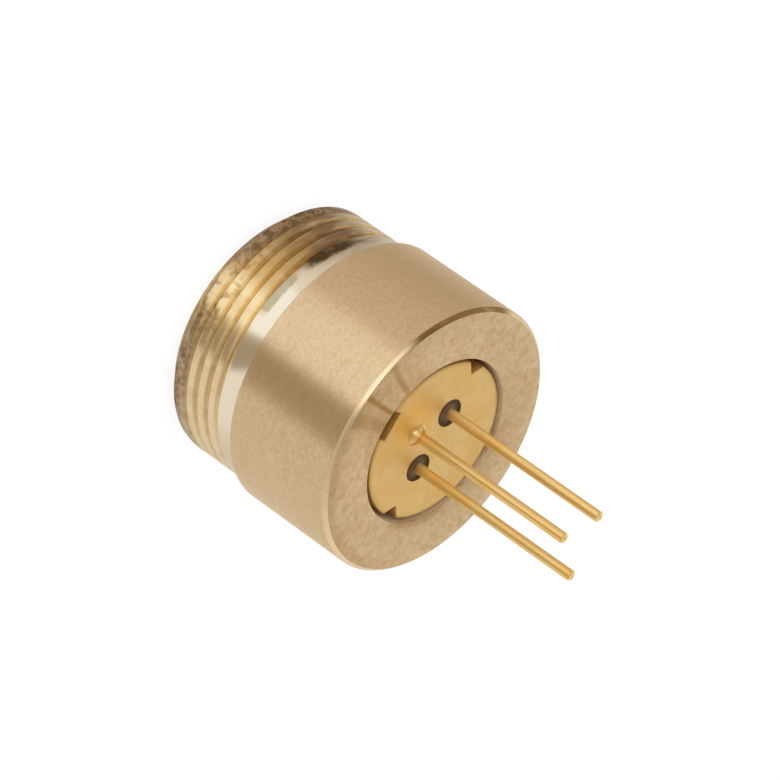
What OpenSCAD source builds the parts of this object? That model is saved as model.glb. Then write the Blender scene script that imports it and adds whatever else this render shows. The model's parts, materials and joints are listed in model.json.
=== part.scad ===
// Diode-pumped solid-state laser module: a turned brass housing that holds a three-lead pump diode,
// a crystal pair and an output filter. Millimetres. The module stands on its front (output) face at
// Z = 0, the leads point up +Z, the insulated leads lie along X and the case lead at -Y.

/* [Housing] */
// Diameter of the smooth body
body_d = 9.5; // [8.8:0.1:12]
// Length of the smooth body, from the shoulder to the back face
body_len = 4.4; // [3.8:0.1:8]
// Major diameter of the threaded front end
thread_d = 9.0; // [7.6:0.1:9.4]
// Length of the front end, from the front face to the shoulder
thread_len = 3.3; // [2.6:0.1:6]
// Lead-in chamfer at the front edge
front_chamfer = 0.45; // [0.1:0.05:0.6]
// Chamfer at the back edge
back_chamfer = 0.13; // [0.05:0.01:0.4]
// Edge break at the shoulder
shoulder_break = 0.08; // [0.02:0.01:0.2]
// Width of the seat that the header rests on
seat_w = 0.5; // [0.3:0.05:0.7]

/* [Header] */
// Diameter of the header
header_d = 5.6; // [5:0.1:7]
// Thickness of the header
header_t = 1.2; // [0.8:0.05:1.6]
// Radial gap between the header and its counterbore
header_gap = 0.15; // [0.02:0.01:0.3]
// Depth of the header's back below the back face
header_recess = 0.07; // [0:0.01:0.5]
// Radius of the header's stamped back edge
header_edge = 0.1; // [0.03:0.01:0.25]
// Depth of the two 90 degree V notches
vee_depth = 0.4; // [0.2:0.05:0.6]
// Width of the square notch
notch_w = 1.0; // [0.6:0.05:1.4]
// Depth of the square notch
notch_depth = 0.4; // [0.2:0.05:0.6]

/* [Leads] */
// Diameter of a lead
lead_d = 0.36; // [0.25:0.01:0.5]
// Diameter of the circle that the leads stand on
lead_circle_d = 2.0; // [1.8:0.05:2.6]
// Length of the cathode lead behind the header
cathode_lead_len = 6.6; // [3:0.05:12]
// Length of the case lead behind the header
case_lead_len = 6.5; // [3:0.05:12]
// Length of the anode lead behind the header
anode_lead_len = 6.8; // [3:0.05:12]
// Chamfer at a lead's tip
lead_tip = 0.06; // [0.01:0.01:0.12]
// Radius of the braze fillet round the case lead
braze_fillet = 0.27; // [0.1:0.01:0.4]
// Diameter of a glass seal
seal_d = 0.98; // [0.7:0.02:1.2]
// Dip of a glass seal's surface between lead and header
seal_dip = 0.05; // [0.02:0.01:0.1]

/* [Pump diode] */
// Width of the heat sink post
post_w = 1.4; // [1:0.05:1.6]
// Height of the heat sink post, from the header to the emitting facet
post_h = 1.3; // [1.1:0.05:1.8]
// Gap between the post's round back and the chamber wall
post_gap = 0.4; // [0.1:0.05:0.8]
// Width of the submount
submount_w = 1.0; // [0.7:0.05:1.2]
// Thickness of the submount
submount_t = 0.3; // [0.15:0.05:0.5]
// Gap between the submount and the header
submount_gap = 0.2; // [0.05:0.05:0.4]
// Width of the diode chip
chip_w = 0.4; // [0.2:0.05:0.6]
// Thickness of the diode chip
chip_t = 0.12; // [0.08:0.01:0.2]
// Length of the diode chip, along the beam
chip_len = 1.0; // [0.6:0.05:1.1]
// Diameter of a bond wire
wire_d = 0.05; // [0.03:0.01:0.08]
// Bond wires on each lead
wire_count = 3; // [1:1:4]
// Spacing of the bond wires
wire_pitch = 0.11; // [0.09:0.01:0.14]
// Height of a bond wire's loop above its feet
wire_rise = 0.25; // [0.1:0.05:0.4]
// Radius of a bond wire's pressed foot
foot_r = 0.04; // [0.03:0.005:0.045]
// Height of a bond wire's pressed foot
foot_h = 0.04; // [0.03:0.005:0.06]
// Distance of the first wire from the chip's rear end
wire_edge = 0.055; // [0.045:0.005:0.1]
// Depth of the bonding flat on a lead's inner end
flat_depth = 0.08; // [0.04:0.01:0.12]
// Reach of the bonding flat past the first and last wire
flat_margin = 0.09; // [0.05:0.01:0.12]

/* [Crystals] */
// Width of the square crystals
crystal_w = 1.0; // [0.6:0.05:1.5]
// Length of the gain crystal
gain_len = 0.5; // [0.3:0.05:1]
// Length of the frequency doubling crystal
doubling_len = 2.0; // [1.6:0.05:2.6]
// Gap between the emitting facet and the gain crystal
pump_gap = 0.1; // [0.05:0.01:0.3]
// Thickness of the crystal holder
holder_t = 2.0; // [1:0.05:2.4]
// Floor of the holder's pocket
holder_floor = 0.2; // [0.1:0.05:0.5]
// Clear aperture in the holder's floor
holder_aperture_d = 0.7; // [0.3:0.05:0.9]
// Radial gap between the holder and the chamber
holder_gap = 0.02; // [0.01:0.01:0.1]
// Gap on each side of a crystal in its pocket
crystal_gap = 0.02; // [0.01:0.01:0.1]

/* [Output] */
// Diameter of the filter
filter_d = 4.0; // [2.5:0.1:5]
// Thickness of the filter
filter_t = 0.8; // [0.5:0.05:1]
// Depth of the filter below the front face
filter_recess = 0.2; // [0.05:0.05:0.4]
// Radial gap between the filter and its recess
filter_gap = 0.05; // [0.02:0.01:0.15]
// Polished bevel on the filter's edges
filter_bevel = 0.08; // [0.02:0.01:0.2]
// Diameter of the beam aperture through the housing
aperture_d = 1.4; // [0.8:0.1:2]
// Edge break at the mouth of the filter recess
recess_break = 0.1; // [0.02:0.01:0.2]

/* [Hidden] */
$fn = 64;

// Heights along the beam axis, worked out from the back face forwards
back_z = thread_len + body_len;
header_back_z = back_z - header_recess;
header_front_z = header_back_z - header_t;
facet_z = header_front_z - post_h;
gain_z = facet_z - pump_gap - gain_len;
doubling_z = gain_z - doubling_len;
holder_z = doubling_z - holder_floor;
filter_seat_z = filter_recess + filter_t;

// Radii of the stepped hole through the housing
counterbore_r = header_d / 2 + header_gap;
chamber_r = header_d / 2 - seat_w;
recess_r = filter_d / 2 + filter_gap;

// Places across the beam axis: the chip's junction face lies on the axis
lead_r = lead_d / 2;
lead_circle_r = lead_circle_d / 2;
submount_y = chip_t;
post_y = submount_y + submount_t;

// Bond wires: rows of feet counted from the chip's rear end, landing on a flat on the lead
wire_top_z = facet_z + chip_len - wire_edge;
lead_inner_z = wire_top_z - (wire_count - 1) * wire_pitch - flat_margin;
lead_flat_y = flat_depth - lead_r;
lead_flat_top_z = wire_top_z + flat_margin;

cut = 0.5; // overshoot of a cutting solid past the face that it cuts

// Turned housing: one revolved section, with the stepped hole as its inner outline.
module housing() {
  body_r = body_d / 2;
  thread_r = thread_d / 2;
  outside = [
    [thread_r - front_chamfer, 0],
    [thread_r, front_chamfer],
    [thread_r, thread_len],
    [body_r - shoulder_break, thread_len],
    [body_r, thread_len + shoulder_break],
    [body_r, back_z - back_chamfer],
    [body_r - back_chamfer, back_z]
  ];
  inside = [
    [counterbore_r, back_z],
    [counterbore_r, header_front_z],
    [chamber_r, header_front_z],
    [chamber_r, holder_z],
    [aperture_d / 2, holder_z],
    [aperture_d / 2, filter_seat_z],
    [recess_r, filter_seat_z],
    [recess_r, recess_break],
    [recess_r + recess_break, 0]
  ];
  color("#c9a878") rotate_extrude($fn = 128) polygon(concat(outside, inside));
}

// Section of the stamped header disc, with its rolled back edge.
module header_section() {
  r = header_d / 2;
  square([r - header_edge, header_t]);
  square([r, header_t - header_edge]);
  translate([r - header_edge, header_t - header_edge]) circle(r = header_edge);
}

// V notch in the header's edge, with its apex towards the axis.
module vee_notch() {
  r = header_d / 2;
  far = vee_depth + cut;
  translate([0, 0, header_front_z - cut])
    linear_extrude(header_t + 2 * cut)
      polygon([[r - vee_depth, 0], [r - vee_depth + far, -far], [r - vee_depth + far, far]]);
}

// Header: round plate with two V notches, one square notch and two holes for the glass seals.
module header_base() {
  color("#d3b16a") difference() {
    translate([0, 0, header_front_z]) rotate_extrude($fn = 128) header_section();
    for (turn = [0, 180]) {
      rotate(turn) vee_notch();
      rotate(turn) translate([lead_circle_r, 0, header_front_z - cut])
        cylinder(d = seal_d, h = header_t + 2 * cut);
    }
    translate([-notch_w / 2, -header_d / 2 - cut, header_front_z - cut])
      cube([notch_w, notch_depth + cut, header_t + 2 * cut]);
  }
}

// Round lead shaft from one height to another, chamfered at its upper tip.
module lead_shaft(from_z, tip_z) {
  translate([0, 0, from_z]) cylinder(r = lead_r, h = tip_z - lead_tip - from_z);
  translate([0, 0, tip_z - lead_tip]) cylinder(r1 = lead_r, r2 = lead_r - lead_tip, h = lead_tip);
}

// Insulated lead: passes through its seal and ends inside in a flat for the bond wires.
module insulated_lead(side, length) {
  color("#c99a45") difference() {
    translate([side * lead_circle_r, 0, 0]) lead_shaft(lead_inner_z, header_back_z + length);
    translate([side * lead_circle_r - lead_d, lead_flat_y - lead_d, lead_inner_z - cut])
      cube([2 * lead_d, lead_d, lead_flat_top_z - lead_inner_z + cut]);
  }
}

module cathode_lead() {
  insulated_lead(-1, cathode_lead_len);
}

module anode_lead() {
  insulated_lead(1, anode_lead_len);
}

// Case lead: stands on the header's back in a concave braze fillet.
module case_lead() {
  foot = lead_r + braze_fillet;
  color("#c99a45") translate([0, -lead_circle_r, 0]) {
    lead_shaft(header_back_z, header_back_z + case_lead_len);
    translate([0, 0, header_back_z]) rotate_extrude() difference() {
      square([foot, braze_fillet]);
      translate([foot, braze_fillet]) circle(r = braze_fillet);
    }
  }
}

// Glass seal: a sleeve between lead and header, with a dished surface at both ends.
module glass_seal(side) {
  wall = (seal_d - lead_d) / 2;
  dish_r = (wall * wall / 4 + seal_dip * seal_dip) / (2 * seal_dip);
  color("#5a4a38") translate([side * lead_circle_r, 0, header_front_z]) rotate_extrude() difference() {
    translate([lead_r, 0]) square([wall, header_t]);
    translate([lead_r + wall / 2, header_t + dish_r - seal_dip]) circle(r = dish_r);
    translate([lead_r + wall / 2, seal_dip - dish_r]) circle(r = dish_r);
  }
}

module cathode_glass_seal() {
  glass_seal(-1);
}

module anode_glass_seal() {
  glass_seal(1);
}

// Heat sink post: a flat-faced column on the header's inner side, round at the back.
module heat_sink_post() {
  color("#b87347") intersection() {
    translate([0, 0, facet_z]) cylinder(r = chamber_r - post_gap, h = post_h);
    translate([-post_w / 2, post_y, facet_z]) cube([post_w, chamber_r, post_h]);
  }
}

// Submount: a ceramic tile that insulates the chip from the post.
module diode_submount() {
  color("#e6e2d8") translate([-submount_w / 2, submount_y, facet_z])
    cube([submount_w, submount_t, post_h - submount_gap]);
}

// Pump diode chip: emits towards -Z from the edge at the facet.
module pump_diode_chip() {
  color("#4a4a50") translate([-chip_w / 2, 0, facet_z]) cube([chip_w, chip_t, chip_len]);
}

// One bond wire in a plane across the beam axis: an arc between two pressed feet, bowed towards -Y.
module bond_wire(from, to) {
  lift = [0, -foot_h / 2];
  a = from + lift;
  b = to + lift;
  chord = norm(b - a);
  bend_r = (chord * chord / 4 + wire_rise * wire_rise) / (2 * wire_rise);
  slope = atan2(b[1] - a[1], b[0] - a[0]);
  half = asin(chord / 2 / bend_r);
  middle = (a + b) / 2 + (bend_r - wire_rise) * [-sin(slope), cos(slope)];
  translate(middle) rotate(slope - 90 - half) rotate_extrude(angle = 2 * half, $fn = 64)
    translate([bend_r, 0]) circle(d = wire_d, $fn = 24);
  for (foot = [from, to])
    translate(foot) rotate([90, 0, 0]) cylinder(r = foot_r, h = foot_h, $fn = 32);
}

// Row of bond wires, each in its own plane.
module bond_wires(from, to) {
  color("#e2bb55")
    for (i = [0 : wire_count - 1])
      translate([0, 0, wire_top_z - i * wire_pitch]) bond_wire(from, to);
}

module cathode_bond_wires() {
  mirror([1, 0, 0]) bond_wires([chip_w / 4, 0], [lead_circle_r, lead_flat_y]);
}

module anode_bond_wires() {
  bond_wires([(chip_w + submount_w) / 4, submount_y], [lead_circle_r, lead_flat_y]);
}

// Crystal holder: a disc with a square pocket for the crystals and an aperture in the pocket's floor.
module crystal_holder() {
  pocket_w = crystal_w + 2 * crystal_gap;
  color("#b08a52") difference() {
    translate([0, 0, holder_z]) cylinder(r = chamber_r - holder_gap, h = holder_t);
    translate([-pocket_w / 2, -pocket_w / 2, doubling_z]) cube([pocket_w, pocket_w, holder_t + cut]);
    translate([0, 0, holder_z - cut]) cylinder(d = holder_aperture_d, h = holder_floor + 2 * cut);
  }
}

// Square crystal block of a given length.
module crystal(z, length) {
  translate([-crystal_w / 2, -crystal_w / 2, z]) cube([crystal_w, crystal_w, length]);
}

module gain_crystal() {
  color("#cdb8de") crystal(gain_z, gain_len);
}

module doubling_crystal() {
  color("#e8f0f2") crystal(doubling_z, doubling_len);
}

// Filter: a round glass with bevelled edges, seated against the step behind its recess.
module ir_filter() {
  r = filter_d / 2;
  color("#a9d5cd") translate([0, 0, filter_recess]) rotate_extrude() polygon([
    [0, 0],
    [r - filter_bevel, 0],
    [r, filter_bevel],
    [r, filter_t - filter_bevel],
    [r - filter_bevel, filter_t],
    [0, filter_t]
  ]);
}

housing();
header_base();
heat_sink_post();
case_lead();
cathode_lead();
anode_lead();
cathode_glass_seal();
anode_glass_seal();
diode_submount();
pump_diode_chip();
cathode_bond_wires();
anode_bond_wires();
crystal_holder();
gain_crystal();
doubling_crystal();
ir_filter();
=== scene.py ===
"""Looks of a small brass laser module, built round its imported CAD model.

The module stands on its front face at Z = 0 with its three leads pointing up +Z. Meshes are drawn in
millimetres and are scaled to metres when they become pieces.
"""

import json
import logging
import math
from collections.abc import Iterable, Sequence
from dataclasses import dataclass, replace
from enum import Enum
from functools import reduce

import bmesh
import bpy
from bmesh.types import BMEdge, BMesh, BMFace, BMVert
from bpy.types import Material, NodeTree, Object
from bpy.types import NodeSocket as Socket
from mathutils import Matrix, Vector

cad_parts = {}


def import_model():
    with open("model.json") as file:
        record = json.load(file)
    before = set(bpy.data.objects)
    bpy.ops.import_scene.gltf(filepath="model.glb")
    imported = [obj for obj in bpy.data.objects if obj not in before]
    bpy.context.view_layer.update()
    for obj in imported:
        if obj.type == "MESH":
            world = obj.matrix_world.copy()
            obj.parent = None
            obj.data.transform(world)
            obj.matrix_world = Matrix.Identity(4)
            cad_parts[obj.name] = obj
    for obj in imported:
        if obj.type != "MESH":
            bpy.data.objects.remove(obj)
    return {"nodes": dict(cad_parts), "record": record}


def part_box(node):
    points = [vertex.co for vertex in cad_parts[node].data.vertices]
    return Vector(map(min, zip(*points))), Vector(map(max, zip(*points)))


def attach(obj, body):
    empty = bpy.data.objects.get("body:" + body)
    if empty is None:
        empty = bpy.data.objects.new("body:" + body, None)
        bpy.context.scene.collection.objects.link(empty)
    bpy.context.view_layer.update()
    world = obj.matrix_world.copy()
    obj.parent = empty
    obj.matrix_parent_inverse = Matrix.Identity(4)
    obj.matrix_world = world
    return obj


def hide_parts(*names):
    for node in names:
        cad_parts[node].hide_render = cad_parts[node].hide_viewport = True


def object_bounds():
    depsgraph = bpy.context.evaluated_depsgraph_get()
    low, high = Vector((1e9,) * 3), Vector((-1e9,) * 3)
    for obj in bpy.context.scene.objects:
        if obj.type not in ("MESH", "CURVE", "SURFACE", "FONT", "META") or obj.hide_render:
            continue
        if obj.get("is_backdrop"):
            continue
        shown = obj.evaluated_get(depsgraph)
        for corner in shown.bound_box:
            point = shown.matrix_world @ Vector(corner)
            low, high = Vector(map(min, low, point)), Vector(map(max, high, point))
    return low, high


LOG = logging.getLogger("laser_module")

MM = 0.001  # metres in a millimetre
FULL_TURN = 2 * math.pi
QUARTER_TURN = 0.25  # as a share of a turn
UP = Vector((0.0, 0.0, 1.0))
WELD = 1e-4  # millimetres within which two vertices are one
SHARP = math.radians(35)  # edges that turn more than this stay crisp
ROOT = "root"  # the one body of a part with no joints

Point = tuple[float, float]
Colour = tuple[float, float, float]
Grain = tuple[float | Colour, ...]  # arguments of ShaderTree.noise
Stops = tuple[tuple[float, Colour], ...]  # angles and their colours
Input = Socket | float | Colour


def node_box(node: str) -> tuple[Vector, Vector]:
    """Lowest and highest corner of a CAD node, in millimetres."""
    low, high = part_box(node)
    return low / MM, high / MM


def only(kind: type, geom: Iterable) -> list:
    """Items of one kind among the results of an operator."""
    return [item for item in geom if isinstance(item, kind)]


def spin(bm: BMesh, geom: Iterable, steps: int, **settings: object) -> list[BMVert]:
    """Turns geometry about an axis, by default a full turn about Z.

    Args:
        bm: Mesh to work in.
        geom: Vertices and edges to turn.
        steps: Steps of the turn.
        **settings: Values that replace the defaults of the operator.

    Returns:
        The vertices of the last step.
    """
    values = {"axis": UP, "angle": FULL_TURN, "space": Matrix(), "use_merge": False} | settings
    return only(BMVert, bmesh.ops.spin(bm, geom=list(geom), steps=steps, **values)["geom_last"])


def weld(bm: BMesh) -> None:
    """Merges doubled vertices and points all faces outwards."""
    bmesh.ops.remove_doubles(bm, verts=bm.verts[:], dist=WELD)
    bmesh.ops.recalc_face_normals(bm, faces=bm.faces[:])


def bevel(bm: BMesh, geom: Iterable, width: float, segments: int, affect: str = "EDGES") -> None:
    """Rounds edges or corners by a width in millimetres."""
    bmesh.ops.bevel(
        bm,
        geom=list(geom),
        offset=width,
        offset_type="OFFSET",
        segments=segments,
        profile=0.5,
        affect=affect,
        material=-1,
        clamp_overlap=True,
    )


def cut(bm: BMesh, place: Sequence[float], normal: Sequence[float], **clear: bool) -> list[BMEdge]:
    """Cuts a mesh at a plane.

    Args:
        bm: Mesh to cut.
        place: A point on the plane.
        normal: Direction of the plane's outer side.
        **clear: Which side to clear, if any.

    Returns:
        The edges on the cut.
    """
    geom = bm.verts[:] + bm.edges[:] + bm.faces[:]
    done = bmesh.ops.bisect_plane(bm, geom=geom, dist=WELD, plane_co=place, plane_no=normal, **clear)
    return only(BMEdge, done["geom_cut"])


def level_edges(bm: BMesh, z: float) -> list[BMEdge]:
    """Edges that lie at one height, in millimetres."""
    return [edge for edge in bm.edges if all(abs(vert.co.z - z) < WELD for vert in edge.verts)]


def fill_level(bm: BMesh, z: float) -> None:
    """Fills what lies between the open edges at one height, in millimetres."""
    rims = [edge for edge in level_edges(bm, z) if edge.is_boundary]
    bmesh.ops.triangle_fill(bm, edges=rims, use_beauty=True, normal=UP)


def join(bm: BMesh, other: BMesh) -> None:
    """Moves one mesh into another.

    Args:
        bm: Mesh that grows.
        other: Mesh to move, which is freed.
    """
    mesh = bpy.data.meshes.new("joined")
    other.to_mesh(mesh)
    other.free()
    bm.from_mesh(mesh)
    bpy.data.meshes.remove(mesh)


def block(low: Vector, high: Vector, edge: float) -> BMesh:
    """Box between two corners with rounded edges.

    Args:
        low: Lowest corner, in millimetres.
        high: Highest corner, in millimetres.
        edge: Rounding of its edges.

    Returns:
        The new mesh.
    """
    bm = bmesh.new()
    bmesh.ops.create_cube(bm, size=1.0)
    bmesh.ops.scale(bm, vec=high - low, verts=bm.verts[:])
    bmesh.ops.translate(bm, vec=(low + high) / 2, verts=bm.verts[:])
    bevel(bm, bm.edges[:], edge, segments=2)
    bmesh.ops.recalc_face_normals(bm, faces=bm.faces[:])
    return bm


class Section:
    """Outline of a turned shape, drawn in the XZ plane as radius and height in millimetres."""

    def __init__(self, start: Point, *points: Point) -> None:
        """Starts the outline.

        Args:
            start: Radius and height of the first point.
            *points: Points through which it goes on.
        """
        self.bm = bmesh.new()
        self.tip = self.bm.verts.new((start[0], 0.0, start[1]))
        self.line(*points)

    def line(self, *points: Point) -> "Section":
        """Goes on straight through the given points.

        Args:
            *points: Radius and height of each point.

        Returns:
            This section.
        """
        for r, z in points:
            last, self.tip = self.tip, self.bm.verts.new((r, 0.0, z))
            self.bm.edges.new((last, self.tip))
        return self

    def arc(self, r: float, z: float, degrees: float, steps: int) -> "Section":
        """Goes on along an arc.

        Args:
            r: Radius at which the centre of the arc lies.
            z: Height of the centre of the arc.
            degrees: Turn about +Y, which takes +Z towards +X.
            steps: Edges along the arc.

        Returns:
            This section.
        """
        turn = {"cent": (r, 0.0, z), "axis": (0.0, 1.0, 0.0), "angle": math.radians(degrees)}
        self.tip = spin(self.bm, [self.tip], steps, **turn)[0]
        return self

    def soften(self, width: float) -> "Section":
        """Rounds every corner of the outline drawn so far.

        Args:
            width: Width of the rounding.

        Returns:
            This section.
        """
        corners = [vert for vert in self.bm.verts if len(vert.link_edges) == 2 and self._turns(vert)]
        bevel(self.bm, corners, width, segments=2, affect="VERTICES")
        return self

    @staticmethod
    def _turns(vert: BMVert) -> bool:
        """Whether the outline turns a corner at this vertex."""
        first, second = (edge.other_vert(vert).co - vert.co for edge in vert.link_edges)
        return math.pi - first.angle(second) > SHARP / 2

    def turned(self, steps: int) -> BMesh:
        """Turns the outline about Z.

        Args:
            steps: Steps of the turn.

        Returns:
            The mesh.
        """
        spin(self.bm, self.bm.verts[:] + self.bm.edges[:], steps, use_merge=True)
        weld(self.bm)
        return self.bm


@dataclass(frozen=True)
class Piece:
    """What a new piece is called, which CAD node it stands for and the name of its slot."""

    name: str
    node: str
    slot: str

    def add(self, bm: BMesh, *materials: Material) -> None:
        """Makes the piece from a mesh in millimetres, riding on the part.

        Args:
            bm: Finished mesh, which is freed.
            *materials: Materials in the order of the mesh's material indices.
        """
        bmesh.ops.scale(bm, vec=(MM, MM, MM), verts=bm.verts[:])
        mesh = bpy.data.meshes.new(self.name)
        bm.to_mesh(mesh)
        bm.free()
        mesh.shade_smooth()
        mesh.set_sharp_from_angle(angle=SHARP)
        for material in materials:
            mesh.materials.append(material)
        piece = bpy.data.objects.new(self.name, mesh)
        bpy.context.scene.collection.objects.link(piece)
        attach(piece, ROOT)
        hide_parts(self.node)
        LOG.info("%s: %d faces for %s", self.name, len(mesh.polygons), self.node)


class NodeGraph:
    """Nodes of a material or a world, with short ways to add to them."""

    MIX_COLOURS = (6, 7)  # inputs of a Mix node that take colours
    MIXED = 2  # output of a Mix node that gives a colour

    def __init__(self, tree: NodeTree) -> None:
        """Starts on a tree that exists."""
        self.nodes = tree.nodes
        self.links = tree.links

    def put(self, value: Input, target: Socket) -> None:
        """Links a socket to an input, or sets the input to a value.

        Args:
            value: A socket, a number, a vector or a colour.
            target: The input.
        """
        if isinstance(value, Socket):
            self.links.new(value, target)
        else:
            target.default_value = (*value, 1.0) if target.type == "RGBA" else value

    def node(self, kind: str, output: str | int, inputs: dict, **settings: str) -> Socket:
        """Adds a node.

        Args:
            kind: Kind of node, without the prefix that all kinds have.
            output: Name or number of the output to use.
            inputs: What each input gets, by name or number.
            **settings: Options of the node.

        Returns:
            The output.
        """
        node = self.nodes.new(f"ShaderNode{kind}")
        for name, value in settings.items():
            setattr(node, name, value)
        for name, value in inputs.items():
            self.put(value, node.inputs[name])
        return node.outputs[output]

    def math(self, operation: str, *values: Socket | float) -> Socket:
        """Result of a Math node's operation."""
        return self.node("Math", "Value", dict(enumerate(values)), operation=operation)

    def fold(self, operation: str, *values: Socket | float) -> Socket:
        """Result of an operation that takes in one value after another."""
        return reduce(lambda first, second: self.math(operation, first, second), values)

    def ramp(self, value: Socket, low: float, high: float, start: float = 0.0, end: float = 1.0) -> Socket:
        """Smooth step from start to end, while a value goes from low to high."""
        inputs = dict(enumerate((value, low, high, start, end)))
        return self.node("MapRange", "Result", inputs, interpolation_type="SMOOTHSTEP")

    def mix(self, share: Socket, first: Input, second: Input, blend_type: str = "MIX") -> Socket:
        """Blend of two colours by the share of the second."""
        inputs = {"Factor": share} | dict(zip(self.MIX_COLOURS, (first, second)))
        return self.node("Mix", self.MIXED, inputs, data_type="RGBA", blend_type=blend_type)


class ShaderTree(NodeGraph):
    """Node tree of one material, which ends in a Principled shader."""

    def __init__(self, name: str) -> None:
        """Starts a material with Object coordinates in millimetres.

        Args:
            name: Name of the material.
        """
        self.noises: dict[tuple, Socket] = {}
        self.material = bpy.data.materials.new(name)
        self.material.use_nodes = True
        super().__init__(self.material.node_tree)
        self.nodes.clear()
        self.bsdf = self.nodes.new("ShaderNodeBsdfPrincipled")
        output = self.nodes.new("ShaderNodeOutputMaterial")
        self.put(self.bsdf.outputs["BSDF"], output.inputs["Surface"])
        self.place = self.scaled(self.node("TexCoord", "Object", {}), (1 / MM, 1 / MM, 1 / MM))

    def finish(self, **inputs: Input) -> Material:
        """Sets or links inputs of the shader, named with underscores for spaces.

        Args:
            **inputs: What each input gets.

        Returns:
            The finished material.
        """
        for name, value in inputs.items():
            self.put(value, self.bsdf.inputs[name.replace("_", " ")])
        return self.material

    def scaled(self, vector: Socket, scale: Colour) -> Socket:
        """Vector with each axis scaled."""
        return self.node("Mapping", "Vector", {"Vector": vector, "Scale": scale})

    def noise(
        self, per_mm: float | Colour, detail: float = 3.0, roughness: float = 0.55, distortion: float = 0.0
    ) -> Socket:
        """Noise on the piece's own coordinates, which is added once.

        Args:
            per_mm: Features in a millimetre, one number or one for each axis.
            detail: Octaves of finer detail.
            roughness: Weight of the finer octaves.
            distortion: How far the features are pulled into curls.

        Returns:
            Values about one half.
        """
        key = (per_mm, detail, roughness, distortion)
        if key not in self.noises:
            scale = per_mm if isinstance(per_mm, tuple) else (per_mm,) * 3
            inputs = {"Scale": 1.0, "Detail": detail, "Roughness": roughness, "Distortion": distortion}
            inputs["Vector"] = self.scaled(self.place, scale)
            self.noises[key] = self.node("TexNoise", "Fac", inputs)
        return self.noises[key]

    def axis(self, name: str) -> Socket:
        """One coordinate of the place, in millimetres."""
        return self.node("SeparateXYZ", name, {"Vector": self.place})

    def distance(self, centre: Colour = (0.0, 0.0, 0.0), weight: Colour = (1.0, 1.0, 0.0)) -> Socket:
        """Distance from a line along Z in millimetres, or from a point with other weights of the axes."""
        offset = self.node("VectorMath", "Vector", {0: self.place, 1: centre}, operation="SUBTRACT")
        return self.node("VectorMath", "Value", {0: self.scaled(offset, weight)}, operation="LENGTH")

    def beside(self, level: Socket, middle: float | None) -> Socket:
        """Distance of a level from a middle, or the level itself if there is none."""
        return level if middle is None else self.math("ABSOLUTE", self.math("SUBTRACT", level, middle))

    def bump(self, height: Socket, depth: float, under: Socket | None = None) -> Socket:
        """Normal bent by a height of so many millimetres, over another normal if one is given."""
        inputs = {"Strength": 1.0, "Distance": depth * MM, "Height": height}
        return self.node("Bump", "Normal", inputs if under is None else inputs | {"Normal": under})

    def turned_grain(self, anisotropy: float) -> None:
        """Stretches the shine along Z, across the tool marks of a turned surface."""
        tangent = self.node("Tangent", "Tangent", {}, direction_type="RADIAL", axis="Z")
        self.finish(Tangent=tangent, Anisotropic=anisotropy, Anisotropic_Rotation=QUARTER_TURN)


class Mask:
    """Share that steps from start to end, while a measure of the place goes from low to high."""

    low: float
    high: float
    start: float
    end: float

    def measure(self, tree: ShaderTree) -> Socket:
        """What is measured at each place."""
        raise NotImplementedError

    def share(self, tree: ShaderTree) -> Socket:
        """Share at each place."""
        return tree.ramp(self.measure(tree), self.low, self.high, self.start, self.end)


@dataclass(frozen=True)
class Around(Mask):
    """Mask by the angle about Z, in degrees from an azimuth."""

    azimuth: float
    low: float
    high: float
    start: float = 1.0
    end: float = 0.0

    def measure(self, tree: ShaderTree) -> Socket:
        """Angle from the azimuth.

        Args:
            tree: Node tree to add to.

        Returns:
            The angle, from 0 to 180.
        """
        bearing = tree.math("ARCTAN2", tree.axis("Y"), tree.axis("X"))
        offset = tree.math("SUBTRACT", bearing, math.radians(self.azimuth))
        wrapped = tree.math("WRAP", offset, math.pi, -math.pi)
        return tree.math("ABSOLUTE", tree.fold("MULTIPLY", wrapped, math.degrees(1.0)))


@dataclass(frozen=True)
class Level(Mask):
    """Mask along an axis in millimetres, or on both sides of a middle if there is one."""

    axis: str
    low: float
    high: float
    start: float = 1.0
    end: float = 0.0
    middle: float | None = None

    def measure(self, tree: ShaderTree) -> Socket:
        """Coordinate, or its distance from the middle."""
        return tree.beside(tree.axis(self.axis), self.middle)


@dataclass(frozen=True)
class Reach(Mask):
    """Mask by the distance from the Z axis in millimetres, or on both sides of a middle radius.

    A centre moves the axis, and a weight of 1 on all axes makes it the distance from a point.
    """

    low: float
    high: float
    start: float = 1.0
    end: float = 0.0
    middle: float | None = None
    centre: Colour = (0.0, 0.0, 0.0)
    weight: Colour = (1.0, 1.0, 0.0)

    def measure(self, tree: ShaderTree) -> Socket:
        """Distance, or its own distance from the middle."""
        return tree.beside(tree.distance(self.centre, self.weight), self.middle)


@dataclass(frozen=True)
class Cloud(Mask):
    """Mask by a noise, which is given as arguments of ShaderTree.noise."""

    noise: Grain
    low: float = 0.35
    high: float = 0.65
    start: float = 0.0
    end: float = 1.0

    def measure(self, tree: ShaderTree) -> Socket:
        """Value of the noise."""
        return tree.noise(*self.noise)


@dataclass(frozen=True)
class Rings(Mask):
    """Fine rings about Z, with so many features in a millimetre of radius."""

    per_mm: float

    def measure(self, tree: ShaderTree) -> Socket:
        """Value of a noise on the radius alone."""
        inputs = {"Scale": self.per_mm, "Detail": 3.0, "W": tree.distance()}
        return tree.node("TexNoise", "Fac", inputs, noise_dimensions="1D")


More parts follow.
